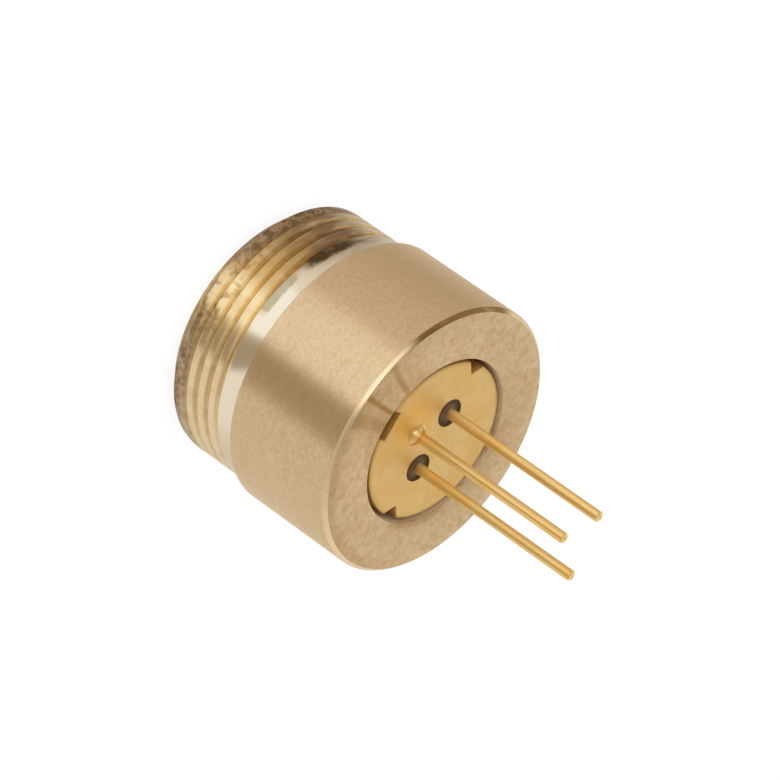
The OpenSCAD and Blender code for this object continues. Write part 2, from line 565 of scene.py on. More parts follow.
@dataclass(frozen=True)
class Joined(Mask):
    """Masks that are joined by an operation of a Math node, and weighted."""

    operation: str
    parts: tuple[Mask, ...]
    weight: float = 1.0

    def measure(self, tree: ShaderTree) -> Socket:
        """Weighted result of the operation."""
        whole = tree.fold(self.operation, *(part.share(tree) for part in self.parts))
        return tree.fold("MULTIPLY", whole, self.weight)

    def share(self, tree: ShaderTree) -> Socket:
        """The same result, because its parts are shares already."""
        return self.measure(tree)


@dataclass(frozen=True)
class Ragged(Mask):
    """Soft patch where masks overlap, with an edge that a noise makes ragged."""

    noise: Grain
    parts: tuple[Mask, ...]
    low: float = 0.10
    high: float = 0.95
    start: float = 0.0
    end: float = 1.0
    contrast: Point = (2.6, -0.3)

    def measure(self, tree: ShaderTree) -> Socket:
        """Overlap of the masks and the noise."""
        ragged = tree.math("MULTIPLY_ADD", tree.noise(*self.noise), *self.contrast)
        return tree.fold("MULTIPLY", *(part.share(tree) for part in self.parts), ragged)


@dataclass(frozen=True)
class Film:
    """Tone that shows where all its masks do, with films of its own over it."""

    tone: Colour
    masks: tuple[Mask, ...]
    films: tuple["Film", ...] = ()
    blend: str = "MIX"

    def over(self, tree: ShaderTree, colour: Input) -> Socket:
        """Lays the film over a colour.

        Args:
            tree: Node tree to add to.
            colour: The colour under the film.

        Returns:
            The colour with the film.
        """
        tone = reduce(lambda under, film: film.over(tree, under), self.films, self.tone)
        share = tree.fold("MULTIPLY", *(mask.share(tree) for mask in self.masks))
        return tree.mix(share, colour, tone, self.blend)


@dataclass(frozen=True)
class Finish:
    """Tone with films over it, an uneven shine and a relief of noises with their depths in millimetres."""

    name: str
    tone: Colour
    films: tuple[Film, ...]
    roughness: Mask
    relief: tuple[tuple[Mask, float], ...] = ()
    metallic: float | Mask = 1.0
    anisotropy: float = 0.0
    constants: tuple[tuple[str, float | Colour], ...] = ()

    def material(self) -> Material:
        """Builds the material.

        Returns:
            The material.
        """
        tree = ShaderTree(self.name)
        if self.anisotropy:
            tree.turned_grain(self.anisotropy)
        normal = None
        for noise, depth in self.relief:
            normal = tree.bump(noise.measure(tree), depth, normal)
        if normal is not None:
            tree.finish(Normal=normal)
        metallic = self.metallic.share(tree) if isinstance(self.metallic, Mask) else self.metallic
        colour = reduce(lambda under, film: film.over(tree, under), self.films, self.tone)
        inputs = {"Base_Color": colour, "Roughness": self.roughness.share(tree), "Metallic": metallic}
        return tree.finish(**inputs, **dict(self.constants))


def clouded(
    name: str, tones: tuple[Colour, Colour], cloud: Mask, roughness: Mask, *relief: tuple, **rest: object
) -> Finish:
    """Finish with one film of a second tone over the first; the rest goes to Finish as it is."""
    film = Film(tones[1], (cloud,))
    return Finish(name, tones[0], (film,), roughness, relief, **rest)


def clear(name: str, tone: Colour, ior: float, coat_tint: Colour = (1.0, 1.0, 1.0)) -> Finish:
    """Polished glass or crystal with a body colour and faint inner streaks.

    Args:
        name: Name of the material.
        tone: Body colour.
        ior: Index of refraction.
        coat_tint: Colour of the coating.

    Returns:
        The finish.
    """
    streaks = ((3.0, 3.0, 0.8),)
    streak_depth = 0.12
    deep = tuple(channel * (1.0 - streak_depth) for channel in tone)
    constants = {
        "IOR": ior,
        "Transmission_Weight": 0.9,
        "Coat_Weight": 0.6,
        "Coat_Roughness": 0.02,
        "Coat_Tint": coat_tint,
    }
    roughness = Cloud(streaks, start=0.02, end=0.06)
    film = Film(deep, (Cloud(streaks, 0.4, 0.7),))
    return Finish(name, tone, (film,), roughness, metallic=0.0, constants=tuple(constants.items()))


def seal_glass(name: str, x: float) -> Finish:
    """Dark fused glass of a seal, with painted light: paler by its lead and darker towards its rim; and
    small bubbles.

    Args:
        name: Name of the material.
        x: Place of its lead along X.

    Returns:
        The finish.
    """
    # painted highlight and shade: the glass paler near its lead, darker towards its rim
    near = Reach(0.22, 0.46, 0.9, 0.1, centre=(x, 0.0, 0.0))
    pale = Film((0.21, 0.130, 0.062), (near, Cloud((4.0,), start=0.6)))
    # A sum of one, because a relief measures its noise and bubbles need the step.
    bubbles = Joined("ADD", (Cloud((22.0, 1.0), 0.62, 0.72),))
    return Finish(
        name,
        (0.075, 0.040, 0.013),
        (pale,),
        Cloud((4.0,), start=0.34, end=0.46),
        ((bubbles, 0.002),),
        metallic=0.0,
        constants=(("IOR", 1.52), ("Specular_IOR_Level", 0.04)),
    )


# Noises that more than one mask uses
DRIPS: Grain = ((1.8, 1.8, 0.9), 4.0, 0.6)
TOOL_MARKS: Grain = ((0.12, 0.12, 14.0), 4.0, 0.7)
SATIN: Grain = (9.0, 3.0, 0.7)
CUT_MARKS: Grain = ((0.8, 0.8, 3.0),)
MOTTLE: Grain = (4.0, 5.0, 0.72)
PATCHES: Grain = (1.1,)
STROKES: Grain = (13.0, 4.0, 0.55, 1.5)
BORED: Grain = (1.1, 4.0)
PEEL: Grain = (12.0,)
DRAWN: Grain = ((9.0, 9.0, 0.4), 2.0)
MOLTEN: Grain = (5.0, 2.0)
SAWN: Grain = (1.5, 5.0)
GROUND: Grain = (40.0,)

# Wear and stains of the turned and the faced brass, and painted reflections of the leads on the face
TURNED_WEAR = Joined(
    "ADD",
    (
        Cloud(SATIN, 0.3, 0.75, 0.0, 1.3),
        Cloud(TOOL_MARKS, 0.4, 0.8, 0.0, 0.7),
        Cloud(((2.0, 2.0, 14.0), 3.0, 0.65), 0.35, 0.75),
    ),
    weight=0.28,
)
FACED_WEAR = Joined(
    "ADD",
    (Cloud(MOTTLE, 0.35, 0.70), Cloud(PATCHES, 0.35, 0.7, 0.0, 0.6), Cloud(STROKES, end=0.9)),
    weight=0.48,
)
FACED_BRASS = clouded(
    "faced_front_brass",
    ((0.73, 0.56, 0.345), (0.59, 0.41, 0.205)),
    FACED_WEAR,
    Cloud(MOTTLE, start=0.46, end=0.56),
    (Cloud(STROKES), 0.0002),
    (Rings(14.0), 0.0003),
)
BROWN: Colour = (0.44, 0.24, 0.075)
# painted reflections: three brown streaks across the face where the leads are mirrored, at azimuths -88.5,
# -98.3 and -113.5
PAINTED_LEAD_REFLECTIONS = tuple(
    Film(BROWN, (around, Reach(0.8, 1.1, middle=3.85), Cloud(PATCHES, 0.2, 0.6, 0.6 * strength, strength)))
    for around, strength in (
        (Around(-88.5, 1.5, 5.5), 0.55),
        (Around(-98.3, 0.4, 2.2), 0.90),
        (Around(-113.5, 0.5, 2.8), 0.70),
    )
)
RIMS = (
    Film(BROWN, (Around(26.0, 14.0, 30.0, 0.5), Reach(0.05, 0.28, middle=3.0))),
    Film(BROWN, (Around(-39.0, 35.0, 65.0, 0.25), Reach(0.10, 0.50, middle=4.6))),
)

# Films of the thread and its shank, from the lowest to the top one
# painted highlight: a paler tone on the thread and shank within 9 to 17 degrees of azimuth -100, where the
# highlight falls
PAINTED_HIGHLIGHT = Film((0.89, 0.71, 0.40), (Around(-100.0, 9.0, 17.0),))
DEEP_AMBER = Joined("MULTIPLY", (Around(-127.0, 10.0, 27.0), Cloud(DRIPS, 0.3, 0.6, 0.7, 1.0)))
AMBER = Film((0.58, 0.37, 0.145), (Joined("MAXIMUM", (DEEP_AMBER, Cloud(DRIPS, 0.40, 0.75, 0.12, 0.5))),))
# painted shade: the shank's tone darker beyond 44 to 76 degrees from azimuth -104, on its flanks
SHANK_SIDE_SHADE = Film((0.67, 0.52, 0.33), (Around(-104.0, 44.0, 76.0, 0.0, 1.0),))
SHANK = Film((0.79, 0.69, 0.525), (Level("Z", 2.42, 2.58, 0.0, 1.0),), (SHANK_SIDE_SHADE,))
TARNISH = Film(
    (0.27, 0.17, 0.085),
    (
        Around(-148.0, 8.0, 29.0),
        Cloud(((0.9, 0.9, 6.0), 4.0, 0.6), 0.3, 0.6, 0.3, 1.0),
        Level("Z", 2.55, 3.05, 1.0, 0.2),
    ),
)
# painted reflection: a ragged grey-olive patch on the lower shank by azimuth -112
GREY_REFLECTION_PATCH = (Around(-112.0, 5.0, 16.0), Level("Z", 0.08, 0.30, middle=2.56))
PAINTED_GREY_REFLECTION = Film((0.48, 0.395, 0.24), (Ragged(((5.0, 5.0, 1.8),), GREY_REFLECTION_PATCH),))
# painted reflection: a ragged dark olive patch on the shank and the top of the thread by azimuth -141
DARK_REFLECTION_PATCH = (Around(-141.0, 5.0, 21.0), Level("Z", 0.08, 0.38, middle=2.56))
PAINTED_DARK_REFLECTION = Film((0.082, 0.050, 0.018), (Ragged(DRIPS, DARK_REFLECTION_PATCH),))
# Amber tarnish in the thread's grooves, with painted shade: the grooves' colour multiplied darker, most
# towards azimuth -148
GROOVE_TARNISH_AND_SHADE = Film(
    (0.90, 0.74, 0.44),
    (
        Reach(4.44, 4.4995),
        Around(-148.0, 40.0, 95.0, 1.0, 0.6),
        Cloud(DRIPS, 0.30, 0.55, 0.5, 1.0),
    ),
    blend="MULTIPLY",
)
SPECKS = Film(
    (0.42, 0.24, 0.085),
    (
        Cloud((3.6, 1.0), 0.43, 0.68),
        Level("Z", 0.8, 1.9),
        Around(-115.0, 22.0, 46.0, 0.9, 0.15),
    ),
)
PITS = Film((0.17, 0.098, 0.05), (Cloud((4.6, 3.0, 0.6), 0.40, 0.64),))
# Brown crust and pits towards the front end, which is also painted shade: darker towards the front edge and
# on both flanks, kept off the lit middle by azimuth -99
FRONT_EDGE = (Cloud((2.5, 4.0), 0.3, 0.6, 0.6, 1.0), Level("Z", 0.65, 1.05))
CRUSTS_AND_SHADE = tuple(
    Film((0.38, 0.25, 0.145), (*FRONT_EDGE, around), (PITS,))
    for around in (Around(-37.0, 30.0, 52.0, 1.0, 0.12), Around(-148.0, 24.0, 46.0, 1.0, 0.12))
)

CONTACT_STRIPE = Joined("MULTIPLY", (Level("X", 0.13, 0.135, middle=0.0), Level("Y", 0.001, 0.003)))


class Zone(Enum):
    """Zones of the housing, each with its finish."""

    BODY = clouded(
        "turned_brass",
        ((0.78, 0.575, 0.34), (0.62, 0.435, 0.235)),
        TURNED_WEAR,
        Cloud(SATIN, 0.3, 0.7, 0.33, 0.40),
        (Cloud(TOOL_MARKS), 0.0004),
        anisotropy=1.0,
    )
    EDGE = Finish(
        "bright_cut_edge",
        (0.82, 0.62, 0.38),
        (Film((0.27, 0.155, 0.05), (Around(-153.0, 22.0, 32.0), Cloud(CUT_MARKS, 0.2, 0.5, 0.6, 1.0))),),
        Cloud(CUT_MARKS, start=0.20, end=0.30),
    )
    THREAD = Finish(
        "thread_brass",
        (0.80, 0.64, 0.405),
        (PAINTED_HIGHLIGHT, AMBER, SHANK, TARNISH, PAINTED_GREY_REFLECTION, PAINTED_DARK_REFLECTION, GROOVE_TARNISH_AND_SHADE, SPECKS, *CRUSTS_AND_SHADE),
        Joined("MAXIMUM", (Level("Z", 2.42, 2.58, 0.26, 0.18), Reach(4.44, 4.4995, 0.44, 0.1))),
        ((Cloud(((0.1, 0.1, 16.0),)), 0.0003),),
        anisotropy=0.8,
    )
    FACE = replace(FACED_BRASS, name="faced_brass", films=FACED_BRASS.films + PAINTED_LEAD_REFLECTIONS + RIMS)
    BORE = Finish(
        "bored_brass",
        (0.82, 0.66, 0.46),
        (
            Film((0.70, 0.53, 0.33), (Cloud(BORED, 0.4, 0.7),)),
            # painted shade: the bore darker below Z 7.40, fully so below Z 6.85
            Film((0.58, 0.42, 0.22), (Level("Z", 6.85, 7.40),)),
        ),
        Cloud(BORED, start=0.70, end=0.85),
        ((Cloud(((0.3, 0.3, 14.0),)), 0.001),),
        metallic=0.7,
    )
    FRONT = FACED_BRASS


class Look(Enum):
    """Finishes of the small pieces."""

    HEADER = Finish(
        "header_gold_plate",
        (0.785, 0.555, 0.24),
        (
            Film((0.77, 0.50, 0.165), (Cloud((1.4, 4.0, 0.6), 0.35, 0.70),)),
            Film(
                (0.88, 0.53, 0.11),
                (
                    Reach(0.3, 1.5, centre=(-0.25, -1.55, 7.63), weight=(1.0, 1.0, 1.0)),
                    Cloud((4.0, 4.0, 0.65), 0.32, 0.66),
                ),
            ),
            # painted shade: a dark brown band on the plate's rim, by the gap round it
            Film((0.55, 0.33, 0.10), (Reach(2.62, 2.80, 0.0, 0.6),)),
            # painted shade: the plate darker below Z 7.55, on the sides of its rim and in its notches
            Film((0.55, 0.36, 0.13), (Level("Z", 7.25, 7.55),)),
        ),
        Cloud(PEEL, start=0.50, end=0.60),
        ((Cloud(PEEL), 0.0006),),
    )
    LEAD = clouded(
        "lead_gold_plate",
        ((0.89, 0.62, 0.245), (0.89, 0.54, 0.135)),
        Cloud(((2.0, 2.0, 0.7),), 0.40, 0.75),
        Cloud(DRAWN, start=0.41, end=0.47),
        (Cloud(DRAWN), 0.00006),
        anisotropy=0.76,
    )
    BRAZE = clouded(
        "braze_gold",
        ((0.80, 0.53, 0.19), (0.76, 0.46, 0.14)),
        Cloud(MOLTEN, 0.40, 0.70),
        Cloud(MOLTEN, start=0.26, end=0.30),
        (Cloud(MOLTEN), 0.004),
    )
    COPPER, HOLDER = (
        clouded(
            name,
            tones,
            Cloud(SAWN, 0.42, 0.72),
            Cloud(SAWN, start=0.32, end=0.46),
            (Cloud(((0.4, 0.4, 12.0),)), 0.0008),
        )
        for name, tones in (
            ("bare_copper", ((0.66, 0.36, 0.21), (0.50, 0.25, 0.13))),
            ("holder_brass", ((0.58, 0.42, 0.22), (0.44, 0.30, 0.15))),
        )
    )
    CERAMIC = clouded(
        "ground_ceramic",
        ((0.80, 0.78, 0.72), (0.70, 0.67, 0.60)),
        Cloud(GROUND, 0.4, 0.7),
        Cloud(GROUND, start=0.45, end=0.6),
        (Cloud(GROUND), 0.001),
        metallic=0.0,
        constants=(("IOR", 1.7),),
    )
    CHIP = clouded(
        "cleaved_chip",
        ((0.060, 0.060, 0.072), (0.50, 0.36, 0.12)),
        CONTACT_STRIPE,
        Cloud(((30.0, 30.0, 6.0), 2.0), start=0.12, end=0.25),
        metallic=CONTACT_STRIPE,
        constants=(("IOR", 3.2),),
    )
    GAIN = clear("gain_crystal_glass", (0.80, 0.66, 0.90), 1.97)
    DOUBLER = clear("doubling_crystal_glass", (0.93, 0.96, 0.97), 1.79)
    FILTER = clear("coated_filter_glass", (0.62, 0.86, 0.80), 1.52, coat_tint=(0.75, 0.95, 0.9))

    def material(self) -> Material:
        """Builds the material of this finish."""
        return self.value.material()


@dataclass
class Thread:
    """Fine, shallow external thread with flat crests and soft, rounded grooves, sizes in millimetres."""

    major_r: float
    pitch: float = 0.5
    depth: float = 0.08
    crest_w: float = 0.20
    phase: float = 0.39
    lead_in: float = 2.5
    groove_steps: int = 14
    crest_cuts: int = 5
    run_out: Point = (2.25, 2.58)

    def screwed(self, length: float, steps: int) -> BMesh:
        """Screws the thread's outline through one turn and trims both ends square.

        Args:
            length: Height at which the thread is trimmed.
            steps: Steps of the turn.

        Returns:
            An open tube from Z = 0 to the length.
        """
        bm = self._outline(length).bm
        spin(bm, bm.verts[:] + bm.edges[:], steps, dvec=(0.0, 0.0, self.pitch / steps))
        weld(bm)
        cut(bm, (0.0, 0.0, 0.0), UP, clear_inner=True)
        cut(bm, (0.0, 0.0, length), UP, clear_outer=True)
        return bm

    def _outline(self, length: float) -> Section:
        """Outline of enough pitches to cover a length before it is trimmed.

        Args:
            length: The length.

        Returns:
            The outline, with its crests divided.
        """
        groove_w = self.pitch - self.crest_w
        start = self.phase - self.lead_in * self.pitch
        section = Section((self.major_r, start))
        for turn in range(math.ceil(length / self.pitch) + 2):
            low = start + turn * self.pitch + self.crest_w
            for step in range(self.groove_steps + 1):
                share = step / self.groove_steps
                dip = self.depth * (1 - math.cos(FULL_TURN * share)) / 2
                section.line((self.major_r - dip, low + groove_w * share))
        crests = [edge for edge in section.bm.edges if edge.calc_length() > self.crest_w / 2]
        bmesh.ops.subdivide_edges(section.bm, edges=crests, cuts=self.crest_cuts)
        return section

    def radius_at(self, r: float, z: float) -> float:
        """Radius after the run-out towards the shank.

        Args:
            r: Radius of the full thread.
            z: Height.

        Returns:
            The radius, which grows to the major radius through the run-out.
        """
        first, last = self.run_out
        share = min(max((z - first) / (last - first), 0.0), 1.0)
        eased = share * share * (3 - 2 * share)
        return r + (self.major_r - r) * eased


@dataclass
class Seated:
    """Sub-assembly that takes its place from its CAD node. Sizes are in millimetres."""

    node: str

    def __post_init__(self) -> None:
        """Reads the node's box and its middle."""
        self.low, self.high = node_box(self.node)
        self.x = (self.low.x + self.high.x) / 2
        self.y = (self.low.y + self.high.y) / 2


@dataclass
class Housing(Seated):
    """Turned brass housing: threaded front, shoulder, smooth body and stepped hole."""

    body_r: float
    thread_r: float
    shoulder_z: float = 3.3
    plain_z: float = 2.6
    front_chamfer: float = 0.45
    back_chamfer: float = 0.13
    shoulder_break: float = 0.05
    counterbore_r: float = 2.95
    chamber_r: float = 2.3
    holder_z: float = 2.33
    aperture_r: float = 0.7
    filter_seat_z: float = 1.0
    recess_r: float = 2.05
    recess_break: float = 0.1
    edge: float = 0.03
    steps: int = 360

    def build(self) -> None:
        """Builds the housing as one piece with a finish for each zone."""
        bm = self._lathed()
        join(bm, self._threaded())
        weld(bm)
        order = list(Zone)
        for face in bm.faces:
            face.material_index = order.index(self._zone(face))
        Piece("housing_turned", self.node, "brass").add(bm, *(zone.value.material() for zone in Zone))

    def _lathed(self) -> BMesh:
        """Everything but the threaded tube.

        Returns:
            An open shell between the tube's two ends.
        """
        back_z = self.high.z
        header_seat_z = node_box("header_base")[0].z
        section = Section(
            (self.thread_r, self.plain_z),
            (self.thread_r, self.shoulder_z),
            (self.body_r - self.shoulder_break, self.shoulder_z),
            (self.body_r, self.shoulder_z + self.shoulder_break),
            (self.body_r, back_z - self.back_chamfer),
            (self.body_r - self.back_chamfer, back_z),
            (self.counterbore_r, back_z),
            (self.counterbore_r, header_seat_z),
            (self.chamber_r, header_seat_z),
            (self.chamber_r, self.holder_z),
            (self.aperture_r, self.holder_z),
            (self.aperture_r, self.filter_seat_z),
            (self.recess_r, self.filter_seat_z),
            (self.recess_r, self.recess_break),
            (self.recess_r + self.recess_break, 0.0),
            (self.thread_r - self.front_chamfer, 0.0),
        )
        return section.soften(self.edge).turned(self.steps)

    def _threaded(self) -> BMesh:
        """Thread that runs out at the shank, has a chamfered front and ends on the lathe's steps.

        Returns:
            The open tube.
        """
        thread = Thread(self.thread_r)
        bm = thread.screwed(self.plain_z, self.steps)
        cut(bm, (0.0, 0.0, self.front_chamfer), UP)
        step = FULL_TURN / self.steps
        for vert in bm.verts:
            angle = math.atan2(vert.co.y, vert.co.x)
            if vert.is_boundary:
                angle = round(angle / step) * step
                vert.co.z = self.plain_z if vert.co.z > self.front_chamfer else 0.0
            r = thread.radius_at(vert.co.xy.length, vert.co.z)
            r = min(r, self.thread_r - self.front_chamfer + vert.co.z)
            vert.co.x = r * math.cos(angle)
            vert.co.y = r * math.sin(angle)
        return bm

    def _zone(self, face: BMFace) -> Zone:
        """Zone that a face lies in.

        Args:
            face: A face of the housing.

        Returns:
            The zone.
        """
        centre = face.calc_center_median()
        r = centre.xy.length
        if centre.z < WELD or (centre.z < self.filter_seat_z and r < self.counterbore_r):
            return Zone.FRONT
        if r < self.counterbore_r + WELD:
            return Zone.BORE
        if centre.z > self.high.z - self.back_chamfer - WELD:
            flat = r < self.body_r - 2 * self.back_chamfer or face.normal.z > math.cos(SHARP / 2)
            return Zone.FACE if flat else Zone.EDGE
        return Zone.BODY if centre.z > self.shoulder_z - self.edge else Zone.THREAD


@dataclass
class HeaderPlate(Seated):
    """Stamped header with two V notches, one square notch and two holes for the seals."""

    r: float = 2.8
    edge: float = 0.1
    vee_depth: float = 0.4
    notch_w: float = 1.0
    notch_depth: float = 0.4
    seal_r: float = 0.49
    hole_edge: float = 0.02
    collar: float = 0.07
    steps_per_arc: int = 60
    hole_steps: int = 64

    def build(self, seals: Iterable[Seated]) -> None:
        """Builds the plate from its outline, its rounded rim and the collars of its holes.

        Args:
            seals: The seals that pass through it.
        """
        bm = self._outline()
        bmesh.ops.edgeloop_fill(bm, edges=bm.edges[:])
        raised = bmesh.ops.extrude_face_region(bm, geom=bm.faces[:], use_keep_orig=True)["geom"]
        rise = (0.0, 0.0, self.high.z - self.low.z)
        bmesh.ops.translate(bm, vec=rise, verts=only(BMVert, raised))
        bevel(bm, level_edges(bm, self.high.z), self.edge, segments=4)
        bmesh.ops.inset_region(bm, faces=self._caps(bm), thickness=self.hole_edge, use_even_offset=True)
        bmesh.ops.delete(bm, geom=self._caps(bm), context="FACES_ONLY")
        for seal in seals:
            join(bm, self._collar(seal.x))
        for level in (self.low.z, self.high.z):
            fill_level(bm, level)
        weld(bm)
        Piece("header_plate", self.node, "gold_plate").add(bm, Look.HEADER.material())

    @staticmethod
    def _caps(bm: BMesh) -> list[BMFace]:
        """The two end faces, which are the only ones with many corners."""
        return [face for face in bm.faces if len(face.verts) > 4]

    def _outline(self) -> BMesh:
        """Closed outline at the lower face: three arcs between three notches.

        Returns:
            A mesh of edges.
        """
        bm = bmesh.new()
        apex = self.r - self.vee_depth
        reach = (math.sqrt(2 * self.r**2 - apex**2) - apex) / 2
        vee = math.atan2(reach, apex + reach)
        half = self.notch_w / 2
        slot = math.asin(half / self.r)
        floor = self.r - self.notch_depth
        down = 1.5 * math.pi
        arcs = (
            (vee, math.pi - vee, [(-apex, 0.0)]),
            (math.pi + vee, down - slot, [(-half, -floor), (half, -floor)]),
            (down + slot, FULL_TURN - vee, [(apex, 0.0)]),
        )
        chain = []
        for start, end, notch in arcs:
            first = bm.verts.new((self.r * math.cos(start), self.r * math.sin(start), self.low.z))
            if chain:
                bm.edges.new((chain[-1], first))
            chain += [first, *spin(bm, [first], self.steps_per_arc, angle=end - start)]
            for x, y in notch:
                corner = bm.verts.new((x, y, self.low.z))
                bm.edges.new((chain[-1], corner))
                chain.append(corner)
        bm.edges.new((chain[-1], chain[0]))
        return bm

    def _collar(self, x: float) -> BMesh:
        """Wall of one hole with flat collars at its ends.

        Args:
            x: Place of the hole along X.

        Returns:
            The new mesh.
        """
        low_z, high_z = self.low.z, self.high.z
        wide = self.seal_r + self.collar
        wall = Section((wide, high_z), (self.seal_r, high_z), (self.seal_r, low_z), (wide, low_z))
        hole = wall.soften(self.hole_edge).turned(self.hole_steps)
        bmesh.ops.translate(hole, vec=(x, 0.0, 0.0), verts=hole.verts[:])
        return hole


class LeadRole(Enum):
    """The three leads, each with the CAD node that it stands for."""

    CATHODE = "cathode_lead"
    ANODE = "anode_lead"
    CASE = "case_lead"


@dataclass
class Lead(Seated):
    """Straight round lead with a broken tip; the case lead has a braze fillet at its foot."""

    r: float = 0.18
    tip: float = 0.03
    fillet: float = 0.30
    contact: float = 15.0
    fillet_steps: int = 14
    flat_y: float = -0.10
    flat_top_z: float = 6.165
    edge: float = 0.015
    steps: int = 64

    def build(self, gold: Material) -> None:
        """Builds the lead.

        Args:
            gold: Material of the leads.
        """
        brazed = LeadRole(self.node) is LeadRole.CASE
        end_z = self.high.z
        section = self._foot() if brazed else self._inner_end()
        section.line((self.r, end_z - self.tip), (self.r - self.tip, end_z), (0.0, end_z))
        bm = section.soften(self.edge).turned(self.steps)
        materials = [gold]
        if brazed:
            materials.append(Look.BRAZE.material())
            for face in bm.faces:
                face.material_index = int(face.calc_center_median().z < self.low.z + self.fillet)
        else:
            self._press_flat(bm)
        bmesh.ops.translate(bm, vec=(self.x, self.y if brazed else 0.0, 0.0), verts=bm.verts[:])
        Piece(f"{self.node}_drawn", self.node, "lead_gold").add(bm, *materials)

    def _foot(self) -> Section:
        """Start of the outline for the case lead: a concave fillet that meets the header at an angle.

        Returns:
            The outline so far.
        """
        contact = math.radians(self.contact)
        foot = self.r + self.fillet * (1 - math.sin(contact))
        middle = self.low.z + self.fillet * math.cos(contact)
        section = Section((0.0, self.low.z), (foot, self.low.z))
        return section.arc(self.r + self.fillet, middle, 90.0 - self.contact, self.fillet_steps)

    def _inner_end(self) -> Section:
        """Start of the outline for a lead that passes through the header."""
        return Section((0.0, self.low.z), (self.r, self.low.z), (self.r, self.flat_top_z))

    def _press_flat(self, bm: BMesh) -> None:
        """Presses the bonding flat into the inner end.

        Args:
            bm: Mesh of the lead, on the Z axis.
        """
        for vert in bm.verts:
            if vert.co.z < self.flat_top_z + WELD:
                vert.co.y = max(vert.co.y, self.flat_y)


@dataclass
class GlassSeal(Seated):
    """Glass sleeve between an insulated lead and the header, dished at both ends."""

    inner_r: float = 0.18
    outer_r: float = 0.49
    dip: float = 0.05
    arc_steps: int = 12
    steps: int = 64

    def build(self) -> None:
        """Builds the seal."""
        wall = self.outer_r - self.inner_r
        middle = self.inner_r + wall / 2
        dish_r = (wall * wall / 4 + self.dip * self.dip) / (2 * self.dip)
        turn = 2 * math.degrees(math.asin(wall / 2 / dish_r))
        section = Section((self.inner_r, self.low.z))
        section.arc(middle, self.low.z + self.dip - dish_r, turn, self.arc_steps)
        section.line((self.outer_r, self.high.z))
        section.arc(middle, self.high.z - self.dip + dish_r, turn, self.arc_steps)
        section.line((self.inner_r, self.low.z))
        bm = section.turned(self.steps)
        bmesh.ops.translate(bm, vec=(self.x, 0.0, 0.0), verts=bm.verts[:])
        glass = seal_glass(f"{self.node}_glass", self.x)
        Piece(f"{self.node}_fused", self.node, "seal_glass").add(bm, glass.material())


@dataclass
class PumpDiode:
    """Post, submount and chip behind the header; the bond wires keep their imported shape."""

    post_edge: float = 0.03
    tile_edge: float = 0.015
    chip_edge: float = 0.004
    steps: int = 96

    def build(self, nodes: dict[str, Object], gold: Material) -> None:
        """Builds the pieces and gilds the wires.

        Args:
            nodes: Packed objects by node.
            gold: Material of the leads and wires.
        """
        copper = Look.COPPER.material()
        Piece("post_machined", "heat_sink_post", "copper").add(self._post(), copper)
        tile = block(*node_box("diode_submount"), self.tile_edge)
        ceramic = Look.CERAMIC.material()
        Piece("submount_ground", "diode_submount", "submount_ceramic").add(tile, ceramic)
        chip = block(*node_box("pump_diode_chip"), self.chip_edge)
        Piece("chip_cleaved", "pump_diode_chip", "diode_chip").add(chip, Look.CHIP.material())
        for name in ("cathode_bond_wires", "anode_bond_wires"):
            for place in nodes[name].material_slots:
                place.material = gold
            LOG.info("%s: packed shape with new gold", name)

    def _post(self) -> BMesh:
        """Round bar cut flat on three sides, with its edges broken.

        Returns:
            The new mesh.
        """
        low, high = node_box("heat_sink_post")
        bar = Section((0.0, low.z), (high.y, low.z), (high.y, high.z), (0.0, high.z))
        bm = bar.turned(self.steps)
        for place, normal in (
            ((low.x, 0, 0), (-1, 0, 0)),
            ((high.x, 0, 0), (1, 0, 0)),
            ((0, low.y, 0), (0, -1, 0)),
        ):
            bmesh.ops.edgeloop_fill(bm, edges=cut(bm, place, normal, clear_outer=True))
        weld(bm)
        corners = [edge for edge in bm.edges if edge.is_manifold and edge.calc_face_angle() > SHARP]
        bevel(bm, corners, self.post_edge, segments=2)
        return bm


@dataclass
class CrystalStack:
    """Holder with its square pocket, and the two bonded crystals in it."""

    pocket_w: float = 1.04
    floor_t: float = 0.2
    aperture_r: float = 0.35
    rim_r: float = 0.95
    floor_r: float = 0.45
    edge: float = 0.03
    crystal_edge: float = 0.015
    steps: int = 96

    def build(self) -> None:
        """Builds the holder and the crystals."""
        brass = Look.HOLDER.material()
        Piece("holder_turned", "crystal_holder", "holder_brass").add(self._holder(), brass)
        for node, glass in (("gain_crystal", Look.GAIN), ("doubling_crystal", Look.DOUBLER)):
            bm = block(*node_box(node), self.crystal_edge)
            Piece(f"{node}_polished", node, node).add(bm, glass.material())

    def _holder(self) -> BMesh:
        """Turned disc with a square pocket, whose floor has the aperture.

        Returns:
            The new mesh.
        """
        low, high = node_box("crystal_holder")
        floor_z = low.z + self.floor_t
        section = Section(
            (self.rim_r, high.z),
            (high.x, high.z),
            (high.x, low.z),
            (self.aperture_r, low.z),
            (self.aperture_r, floor_z),
            (self.floor_r, floor_z),
        )
        bm = section.soften(self.edge).turned(self.steps)
        base = Matrix.Translation((0.0, 0.0, floor_z)) @ Matrix.Rotation(math.pi / 4, 4, "Z")
        radius = self.pocket_w / math.sqrt(2)
        square = bmesh.ops.create_circle(bm, cap_ends=False, radius=radius, segments=4, matrix=base)["verts"]
        sides = list({edge for vert in square for edge in vert.link_edges})
        raised = bmesh.ops.extrude_edge_only(bm, edges=sides)["geom"]
        bmesh.ops.translate(bm, vec=(0.0, 0.0, high.z - floor_z), verts=only(BMVert, raised))
        for level in (floor_z, high.z):
            fill_level(bm, level)
        weld(bm)
        return bm


